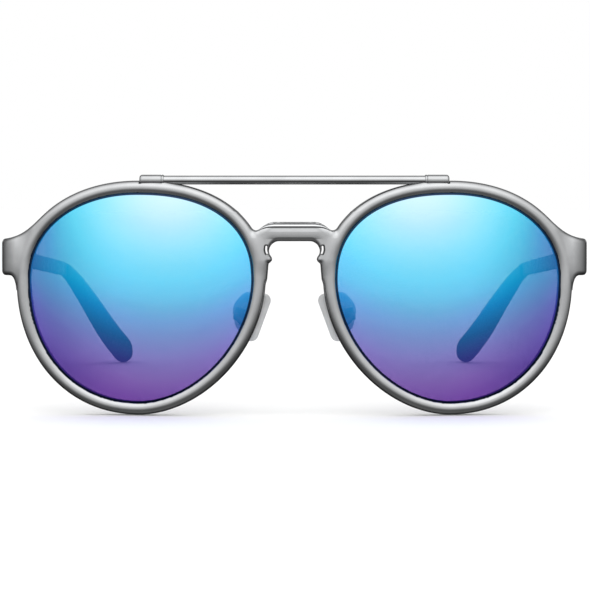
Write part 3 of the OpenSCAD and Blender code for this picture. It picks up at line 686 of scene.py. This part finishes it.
# what the coating reflects and what the lens passes, from the bottom of the lens to the top
REFL = [(0.0, (0.161, 0.061, 0.562)), (0.08, (0.15, 0.065, 0.56)), (0.18, (0.065, 0.083, 0.485)), (0.28, (0.019, 0.172, 0.51)),
        (0.38, (0.01, 0.292, 0.7)), (0.48, (0.007, 0.448, 0.826)), (0.58, (0.011, 0.54, 0.877)), (0.70, (0.03, 0.525, 0.82)),
        (0.82, (0.045, 0.482, 0.775)), (1.0, (0.1, 0.458, 0.74))]
TINT = [(0.0, (0.12, 0.05, 0.20)), (0.1, (0.145, 0.09, 0.225)), (0.2, (0.168, 0.128, 0.265)), (0.28, (0.16, 0.14, 0.262)),
        (0.36, (0.145, 0.14, 0.2)), (0.46, (0.13, 0.135, 0.115)), (0.58, (0.13, 0.148, 0.1)), (0.75, (0.16, 0.2, 0.12)), (1.0, (0.17, 0.2, 0.12))]
SIDE = (0.54, 0.80, 0.726)
BLOOM = (29.96, 52.36, 15.64, 11.28)
BLOOM_ADD = (0.29, 0.10, 0.0)

M_FRAME = metal("frame_metal", 0.46, 0.2, (0.5, 5, 3), 0.7)
# the brow bar's material carries painted reflection bands across its height
M_BAR = metal("bar_metal", 0.5, 0.16, (0.3, 6, 6), 0.6, painted_reflection_bands=True)
M_STRIP = metal("strip_metal", 0.6, 0.13, (0.3, 6, 6), 0.6)
M_CAP = metal("cap_metal", 0.43, 0.24, (0.5, 5, 5), 0.8)
M_WIRE = metal("wire_metal", 0.5, 0.2, (2, 2, 2), 0.8)
M_SCREW = metal("screw_steel", 0.42, 0.26, (4, 4, 4), 1.6, 0.1)
M_HINGE = metal("hinge_metal", 0.44, 0.27, (3, 0.6, 3), 1.4)
M_TEMPLE = metal("temple_metal", 0.42, 0.27, (5, 0.25, 5), 1.6)
M_LENS, M_LBACK, M_LEDGE = mirror_lens(), lens_back(), lens_edge()
M_PAD = silicone()
M_TIP = plastic("tip_plastic", (0.012, 0.014, 0.018), (0.022, 0.026, 0.034), 0.26)


# ------------------------------------------------------------------ front frame
GRID = 0.225
_n = [int(73.6 / GRID), int(18.6 / GRID), int(59.4 / GRID)]
V, Q, G, seam = surface_nets(frame_sdf, (-GRID / 2, -0.6, -0.8), _n, GRID)
V, Q, G = both_sides(V, Q, G, seam)
front = new_object("front_frame_shell", place(V), Q, M_FRAME, "front", ("front_frame",))
front.data.normals_split_custom_set_from_vertices([tuple(g) for g in unit(G)])


# polished strip along the top of the bridge, with a fine groove under it
_top = BR_HALF[1:26]
_top = np.concatenate([np.stack([np.linspace(0, 4.0, 10), np.full(10, BR_TOP)], -1), _top])
_tn = np.gradient(_top, axis=0)
_tn = unit(np.stack([_tn[:, 1], -_tn[:, 0]], -1))        # into the bridge
_bv = BR_BEV * (1 - smooth(5.2, 9.6, _top[:, 0]))
rings = []
for p, n_, B in zip(_top, _tn, _bv):
    g = max(B / BR_BEV, 0.06)
    yt = B * math.tan(BR_BETA)
    sec = [(0.36 * g + 0.06, yt + 0.4 * g + 0.1), (0.12 * g + 0.02, yt + 0.34 * g + 0.1), (0.08 * g, yt + 0.26 * g), (0.065 * g, yt + 0.12 * g),
           (0.09 * g, yt - 0.04 * g), (0.23 * g, yt - 0.48 * g), (0.27 * g, yt - 0.57 * g), (B * 0.55, yt * 0.45 - 0.33 * g),
           (B * 0.76, yt * 0.24 - 0.33 * g), (B * 0.80, -0.1 * g), (B * 0.84, -0.08 * g), (B * 1.28, 0.15 * g),
           (B * 1.34, 0.3 * g), (B * 1.2, 0.5 * g), (B * 0.9, 0.6 * g)]
    rings.append([(p[0] + n_[0] * a_, BR_FRONT + b_, p[1] + n_[1] * a_) for a_, b_ in sec])
rings = np.array(rings)
rings = np.concatenate([mirror(rings[1:])[::-1], rings])
v, f = loft(rings)
outward(new_object("bridge_top_bevel", place(v), f, M_STRIP, "front", ("front_frame",)))


# ------------------------------------------------------------------ lenses
def build_lens(name, s):
    m = 360
    t = np.linspace(0, 2 * np.pi, m, endpoint=False)
    P = outline_2d(t)
    c = np.array([LCX, LCZ])
    q, b, nrm = rim_frame(t)
    fr = [0.04, 0.1, 0.18, 0.27, 0.36, 0.45, 0.54, 0.63, 0.71, 0.78, 0.84, 0.89, 0.93, 0.96, 0.975, 0.985, 0.99, 0.993, 0.9955, 0.998, 1.0]
    front_rings, painted_edge_shade = [], []
    for f in fr:
        front_rings.append(on_lens(c + (P - c) * f))
        # painted shade: the lens colour goes dark within 0.2 mm of the rim, standing in for the shade where the rim
        # meets the lens
        gap_mm = (1 - f) * np.linalg.norm(P - c, axis=1)
        painted_edge_shade.append(1 - smooth(0.0, 0.2, gap_mm))
    front_rings.append(q + b * 0.35)
    front_rings.append(q + b * (BITE - 0.12))
    painted_edge_shade += [np.ones(m)] * 2
    back_rings = [r + unit(SPHERE - r) * LT for r in front_rings]
    edge = [q + b * (BITE - 0.03) + nrm * 0.12, q + b * BITE + nrm * 0.3, q + b * BITE + nrm * 1.7,
            q + b * (BITE - 0.03) + nrm * 1.88]
    rings = front_rings + edge + back_rings[::-1]
    sh = painted_edge_shade + [np.ones(m)] * 4 + painted_edge_shade[::-1]
    nr = len(rings)
    v = np.concatenate([np.concatenate(rings), on_lens(c)[None], on_lens(c)[None]])
    v[-1] += unit(SPHERE - v[-1]) * LT
    a = np.concatenate([np.concatenate(sh), [0, 0]])
    f, mi = [], []
    k = nr * m
    j = np.arange(m)
    jn = (j + 1) % m
    for i in range(nr - 1):
        f += [tuple(x) for x in np.stack([i * m + j, i * m + jn, (i + 1) * m + jn, (i + 1) * m + j], -1)]
        mi += [0 if i < len(front_rings) - 1 else (1 if i >= len(front_rings) + 4 else 2)] * m
    f += [(k, y, x) for x, y in zip(j, jn)]
    mi += [0] * m
    o = (nr - 1) * m
    f += [(k + 1, o + x, o + y) for x, y in zip(j, jn)]
    mi += [1] * m
    f = [tuple(x)[::-1] for x in f] if s > 0 else f
    v = v if s > 0 else mirror(v)
    ob = new_object(name, place(v), f, [M_LENS, M_LBACK, M_LEDGE], "front",
                    (name.replace("_coated", ""),))
    ob.data.polygons.foreach_set("material_index", mi)
    # the 'edge' attribute carries this painted shade along the rim to the lens material
    at = ob.data.attributes.new("edge", "FLOAT", "POINT")
    at.data.foreach_set("value", a.astype(np.float32))
    return ob


build_lens("lens_left_coated", 1)
build_lens("lens_right_coated", -1)


# ------------------------------------------------------------------ brow bar
def turned(profile, m=56):
    """closed profile of (along x, radius) pairs turned round the x axis"""
    a = np.linspace(0, 2 * np.pi, m, endpoint=False)
    rings = [np.stack([np.full(m, x), r * np.cos(a), r * np.sin(a)], -1) for x, r in profile]
    return np.array(rings)


xs = TAB_IN + 2.9
r = BAR_D / 2
prof = [(-xs - 0.02, 0.5 * r), (-xs, 0.75 * r), (-xs + 0.08, 0.93 * r), (-xs + 0.25, r)]
prof += [(x, r) for x in np.linspace(-xs + 0.6, xs - 0.6, 90)]
prof += [(-x, q) for x, q in prof[3::-1]]
v, f = loft(turned(prof))
v = v + np.array([0, BAR_Y, BAR_Z])
outward(new_object("brow_bar_rod", place(v), f, M_BAR, "front", ("brow_bar",)))

for side_name, s in (("left", 1), ("right", -1)):
    R, L = TAB_D / 2, TAB_OUT - TAB_IN
    prof = [(0.0, BAR_D / 2 + 0.04), (0.0, R - 0.16), (0.05, R - 0.05), (0.16, R), (0.42, R), (0.47, R - 0.03),
            (0.50, R - 0.12), (0.62, R - 0.12), (0.65, R - 0.03), (0.70, R)]
    prof += [(x, R) for x in np.linspace(1.0, L - 0.75, 10)]
    prof += [(L - 0.7 + 0.7 * math.sin(a), R - 0.7 + 0.7 * math.cos(a)) for a in np.radians([15, 30, 45, 60, 75, 90])]
    v1 = turned(prof)
    inner = turned([(3.05, 0.05), (3.05, BAR_D / 2 + 0.03), (0.15, BAR_D / 2 + 0.03)])
    v, f = loft(np.concatenate([inner, v1]))
    v = v + np.array([TAB_IN, BAR_Y, BAR_Z])
    v = v if s > 0 else mirror(v)
    outward(new_object(f"brow_bar_sleeve_{side_name}_cap", place(v), f, M_CAP, "front",
                       (f"brow_bar_sleeve_{side_name}",)))


# ------------------------------------------------------------------ nose pads and their arms
def pad_space(v):
    v = np.asarray(v, float)
    c, s = math.cos(math.pi - PAD_SPLAY), math.sin(math.pi - PAD_SPLAY)
    cl, sl = math.cos(-PAD_LEAN), math.sin(-PAD_LEAN)
    w = np.stack([v[..., 0] * c - v[..., 1] * s, v[..., 0] * s + v[..., 1] * c, v[..., 2]], -1)
    return np.stack([PAD[0] + w[..., 0] * cl + w[..., 2] * sl, PAD[1] + w[..., 1],
                     PAD[2] - w[..., 0] * sl + w[..., 2] * cl], -1)


def pad_outline(m):
    """points and outward normals round the pad, across and up: four discs and the lines that touch them"""
    th = np.linspace(0, 2 * np.pi, 1440, endpoint=False)
    n = np.stack([np.cos(th), np.sin(th)], -1)
    i = np.argmax(n @ PAD_DISCS[:, :2].T + PAD_DISCS[:, 2], axis=1)
    p = PAD_DISCS[i, :2] + PAD_DISCS[i, 2:] * n
    cl, nn = np.vstack([p, p[:1]]), np.vstack([n, n[:1]])
    ln = np.concatenate([[0], np.cumsum(np.linalg.norm(np.diff(cl, axis=0), axis=1))])
    u = np.linspace(0, ln[-1], m, endpoint=False)
    pick = lambda a: np.stack([np.interp(u, ln, a[:, k]) for k in (0, 1)], -1)
    return pick(cl), unit(pick(nn))


PAD_P, PAD_N = pad_outline(128)


def egg_ring(grow):
    """the pad's outline, offset by grow"""
    if grow > -1.5:
        return PAD_P + grow * PAD_N
    c = np.array([0.2, 0.4])
    return c + (PAD_P - 1.5 * PAD_N - c) * (1 + (grow + 1.5) / 3.3)


WIRE = np.array([[8.9, 3.4, 39.2], [8, 4.9, 38.4], [7.5, 5.9, 36.6], [7.8, 6.2, 33.4], [8.6, 6.1, 29.4],
                 [9.3, 6.1, 25.8], [10.8, 6.1, 22.8], [12.6, 6.3, 22.4], pad_space([-SCREW_BACK - 2.3, 0, -0.6]),
                 pad_space([-SCREW_BACK - 1.79, 0, -0.2])])


def wire_at(u):
    n = len(WIRE) - 1
    i = np.minimum(n - 1, np.floor(u).astype(int))
    t = (u - i)[:, None]
    a, b, c, d = WIRE[np.maximum(0, i - 1)], WIRE[i], WIRE[i + 1], WIRE[np.minimum(n, i + 2)]
    return 0.5 * (2 * b + (c - a) * t + (2 * a - 5 * b + 4 * c - d) * t * t + (3 * b - a - 3 * c + d) * t ** 3)


def tube(path, radius, m=20):
    path = np.asarray(path, float)
    tg = unit(np.gradient(path, axis=0))
    u = unit(np.cross(tg[0], [0.3, 1, 0.1]))
    rings = []
    a = np.linspace(0, 2 * np.pi, m, endpoint=False)
    for p, t, rr_ in zip(path, tg, radius):
        u = unit(u - t * (u @ t))
        w = np.cross(t, u)
        rings.append(p + rr_ * (np.cos(a)[:, None] * u + np.sin(a)[:, None] * w))
    return loft(np.array(rings))


for side_name, s in (("left", 1), ("right", -1)):
    body = f"nose_pad_{side_name}"
    # silicone pad: flat face towards the nose, rolled rim, a low collar round the post
    rows = []
    for x, g in [(-1.72, -4.05), (-1.72, -3.1), (-1.66, -2.9), (-1.5, -2.75), (-1.3, -2.6), (-1.24, -2.3),
                 (-1.22, -2.0), (-1.19, -1.5)]:
        rows.append((x, g))
    for a in np.linspace(-80, 80, 15):
        a = math.radians(a)
        rows.append((1.18 * spow(math.sin(a), 0.9) if a < 0 else 1.26 * spow(math.sin(a), 0.85), -1.12 * (1 - math.cos(a) ** 0.85)))
    rows += [(1.285, -1.4), (1.295, -1.9), (1.3, -2.6), (1.3, -3.4)]
    rings = []
    for x, g in rows:
        e = egg_ring(g)
        rings.append(np.stack([np.full(len(e), x), e[:, 0], e[:, 1]], -1))
    v, f = loft(np.array(rings))
    v = pad_space(v)
    v = v if s > 0 else mirror(v)
    outward(new_object(f"nose_pad_{side_name}_soft", place(v), f, M_PAD, body,
                       (f"nose_pad_{side_name}",)))
    # wire arm: solder foot inside the bridge, curl, then down to the box
    u = np.linspace(0, 9, 170)
    path = wire_at(u)
    rad = 0.6 + 0.16 * (1 - smooth(0, 0.9, u)) - 0.14 * smooth(8.9, 9.0, u)
    rad[0] *= 0.7
    v, f = tube(path, rad)
    v = v if s > 0 else mirror(v)
    outward(new_object(f"pad_arm_{side_name}_wire", place(v), f, M_WIRE, "front",
                       (f"pad_arm_{side_name}",)))


# ------------------------------------------------------------------ temples
def hinge_space(v):
    v = np.asarray(v, float)
    c, s = math.cos(PANTO), math.sin(PANTO)
    return np.stack([HX + v[..., 0], HY + v[..., 1] * c + v[..., 2] * s, HZ - v[..., 1] * s + v[..., 2] * c], -1)


def temple_at(s):
    s = np.asarray(s, float)
    a = np.clip((s - STRAIGHT) / BEND_R, 0, BEND)
    over = np.maximum(0, s - STRAIGHT - BEND_R * BEND)
    y = np.minimum(s, STRAIGHT) + BEND_R * np.sin(a) + over * np.cos(a)
    z = -BEND_R * (1 - np.cos(a)) - over * np.sin(a)
    s1 = STRAIGHT * 0.85
    k = np.maximum(0, (s - s1) / (T_LEN - s1))
    return np.stack([3 - s / T_LEN - TIP_IN * k ** 2.6, y + 0.8, z], -1)


def temple_ring(s, t, h, n, m=48):
    p = temple_at(s)
    tg = unit(temple_at(s + 0.5) - temple_at(s - 0.5))
    v = unit(np.array([0, 0, 1.0]) - tg * tg[2])
    u = np.cross(tg, v)
    a = np.linspace(0, 2 * np.pi, m, endpoint=False) + math.pi / m
    return p + (t / 2 * spow(np.cos(a), 2 / n))[:, None] * u + (h / 2 * spow(np.sin(a), 2 / n))[:, None] * v


def ease(t):
    u = min(1, max(0, t))
    return u * u * (3 - 2 * u)


def arm_h(s):
    return 7 - 2.9 * ease(s / 30)


def arm_t(s):
    return 2.7 - 1.2 * ease(s / 26)


def blade_h(s):
    return 4.6 + (TIP_H - 4.6) * ease((s - TIP_FROM) / (T_LEN - 12 - TIP_FROM))


def blade_t(s):
    return 2.6 + (TIP_T - 2.6) * ease((s - TIP_FROM) / 20)


def end_round(s):
    return 1.0 if s < T_LEN - 4.4 else math.sqrt(max(0, 1 - ((s - T_LEN + 4.4) / 4.45) ** 2))


for side_name, s in (("left", 1), ("right", -1)):
    body = f"temple_{side_name}"
    rings = []
    for q, e in [(-1.5, 0.5), (-1.44, 0.28), (-1.3, 0.1), (-1.0, 0.0)] + [(x, 0.0) for x in np.linspace(-0.5, TIP_FROM - 0.4, 86)]:
        rings.append(temple_ring(q, arm_t(q) - e, arm_h(q) - e, 4.5))
    rings.append(temple_ring(TIP_FROM - 0.05, arm_t(84), arm_h(84), 4.5))
    rings.append(temple_ring(TIP_FROM - 0.04, 1.25, 2.3, 2.5))
    rings += [temple_ring(q, 1.2, 2.2, 2.5) for q in np.linspace(TIP_FROM, CORE_TO, 30)]
    v, f = loft(np.array(rings))
    v = hinge_space(v)
    v = v if s > 0 else mirror(v)
    outward(new_object(f"temple_arm_{side_name}_satin", place(v), f, M_TEMPLE, body,
                       (f"temple_arm_{side_name}",)))
    # tip: moulded sleeve with a rolled mouth and a rounded end
    rings = [temple_ring(TIP_FROM + 0.9, 1.3, 2.3, 2.5), temple_ring(TIP_FROM + 0.1, 1.45, 2.9, 2.5)]
    for q, k in [(0.02, 0.80), (0.0, 0.88), (0.08, 0.95), (0.25, 0.99), (0.5, 1.0)]:
        rings.append(temple_ring(TIP_FROM + q, blade_t(TIP_FROM) * k, blade_h(TIP_FROM) * k, 2.4))
    # a shallow step a little behind the mouth
    for q, k in [(1.2, 1.0), (1.3, 0.965), (1.5, 0.965), (1.6, 1.0)]:
        rings.append(temple_ring(TIP_FROM + q, blade_t(TIP_FROM) * k, blade_h(TIP_FROM) * k, 2.4))
    for q in np.linspace(TIP_FROM + 2.4, T_LEN - 4.4, 56):
        rings.append(temple_ring(q, blade_t(q), blade_h(q), 2.4))
    for a in np.radians([8, 16, 24, 32, 40, 48, 56, 64, 71, 77, 82, 86]):
        q = T_LEN - 4.4 + 4.4 * math.sin(a)
        e = end_round(q)
        rings.append(temple_ring(q, blade_t(q) * (0.35 + 0.65 * e) * (1 if e > 0.35 else e / 0.35), blade_h(q) * e, 2.4))
    v, f = loft(np.array(rings))
    v = hinge_space(v)
    v = v if s > 0 else mirror(v)
    outward(new_object(f"temple_tip_{side_name}_moulded", place(v), f, M_TIP, body,
                       (f"temple_tip_{side_name}",)))


# ------------------------------------------------------------------ small CAD solids that stay, with broken edges
def keep(node, mat, width):
    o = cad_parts[node]
    o.data.materials.clear()
    o.data.materials.append(mat)
    o.data.polygons.foreach_set("use_smooth", np.ones(len(o.data.polygons), bool))
    w = o.modifiers.new("weld", "WELD")
    w.merge_threshold = 2e-6
    b = o.modifiers.new("edges", "BEVEL")
    b.width = width * MM
    b.segments = 2
    b.limit_method = "ANGLE"
    b.angle_limit = math.radians(40)
    b.harden_normals = True
    b.use_clamp_overlap = True


for side_name in ("left", "right"):
    keep(f"pad_box_{side_name}", M_WIRE, 0.14)
    keep(f"pad_core_{side_name}", M_SCREW, 0.08)
    keep(f"pad_screw_{side_name}", M_SCREW, 0.07)
    keep(f"hinge_front_leaf_{side_name}", M_HINGE, 0.14)
    keep(f"hinge_temple_leaf_{side_name}", M_HINGE, 0.14)
    keep(f"hinge_screw_{side_name}", M_SCREW, 0.08)


# ------------------------------------------------------------------ stage
def floor_material():
    t = Tree("floor")
    c = t.ramp(t.noise(t.n("ShaderNodeTexCoord", out=3), 3.0, 3), [(0.3, (0.955, 0.955, 0.955)), (0.7, (0.965, 0.965, 0.965))])
    return t.done(t.n("ShaderNodeBsdfPrincipled", Base_Color=c, Roughness=0.9, Specular_IOR_Level=0.1))


me = bpy.data.meshes.new("floor")
me.from_pydata([(-30, -30, 0), (30, -30, 0), (30, 30, 0), (-30, 30, 0)], [], [(0, 1, 2, 3)])
floor = bpy.data.objects.new("floor", me)
floor.location.z = -0.00003
bpy.context.scene.collection.objects.link(floor)
me.materials.append(floor_material())
floor.visible_glossy = False

BY_HEIGHT = [(-1.0, 0.40), (-0.9, 0.26), (-0.66, 0.17), (-0.45, 0.30), (-0.3, 0.52), (-0.1, 0.90), (0.0, 1.0),
             (0.2, 1.2), (0.5, 1.85), (0.8, 2.5), (1.0, 2.9)]
BY_DEPTH = [(-1.0, 1.0), (-0.9, 1.0), (-0.7, 0.88), (-0.3, 0.62), (0.0, 0.46), (0.22, 0.29), (0.45, 0.13), (0.75, 0.08), (0.88, 0.22), (1.0, 0.5)]
w = Tree("studio", world=True)
bpy.context.scene.world = w.m
d = w.n("ShaderNodeTexCoord", out=0)
sep = w.n("ShaderNodeSeparateXYZ", d).node
X, Y, Z = sep.outputs
# brightness by height (dark floor, bright light above) times brightness by depth (wide card in front, dark behind)
hz = w.ramp(w.math("MULTIPLY", w.math("ADD", Z, 1.0), 0.5), [((k + 1) / 2, (v / 3,) * 3) for k, v in BY_HEIGHT])
dp = w.ramp(w.math("MULTIPLY", w.math("ADD", Y, 1.0), 0.5), [((k + 1) / 2, (v,) * 3) for k, v in BY_DEPTH])
e = w.math("MULTIPLY", w.math("MULTIPLY", hz, dp), 3.0)
glossy = w.mix(e, (0, 0, 0), (0.985, 0.99, 1.0))
soft = w.math("ADD", 0.92, w.math("MULTIPLY", w.step(Z, -0.2, 1.0), 0.22))
lp = w.n("ShaderNodeLightPath").node
bg_g = w.n("ShaderNodeBackground", glossy.node.inputs[7].default_value[:3], e)
bg_s = w.n("ShaderNodeBackground", (1, 1, 1), soft)
bg_c = w.n("ShaderNodeBackground", (1, 1, 1), 1.0)
s1 = w.n("ShaderNodeMixShader", lp.outputs["Is Glossy Ray"], bg_s, bg_g)
s2 = w.n("ShaderNodeMixShader", lp.outputs["Is Camera Ray"], s1, bg_c)
w.n("ShaderNodeOutputWorld", s2)

ld = bpy.data.lights.new("overhead", "AREA")
ld.shape = "RECTANGLE"
ld.size, ld.size_y = 0.7, 0.5
ld.energy = 1.2
lo_ = bpy.data.objects.new("overhead", ld)
lo_.location = (0.05, -0.12, 0.75)
lo_.rotation_euler = (math.radians(-9), 0, 0)
lo_.visible_glossy = False
lo_.visible_camera = False
bpy.context.scene.collection.objects.link(lo_)

cam_d = bpy.data.cameras.new("camera")
cam = bpy.data.objects.new("camera", cam_d)
bpy.context.scene.collection.objects.link(cam)
cam.location = (0.000145, -(400 + MID_Y) * MM, 0.0510)
cam.rotation_euler = (math.radians(90 - 3.027), 0, 0)
cam_d.lens, cam_d.sensor_width = 101.2, 36.0
cam_d.clip_start, cam_d.clip_end = 0.01, 100
bpy.context.scene.camera = cam
bpy.context.scene.view_settings.view_transform = "Standard"

bpy.context.view_layer.update()
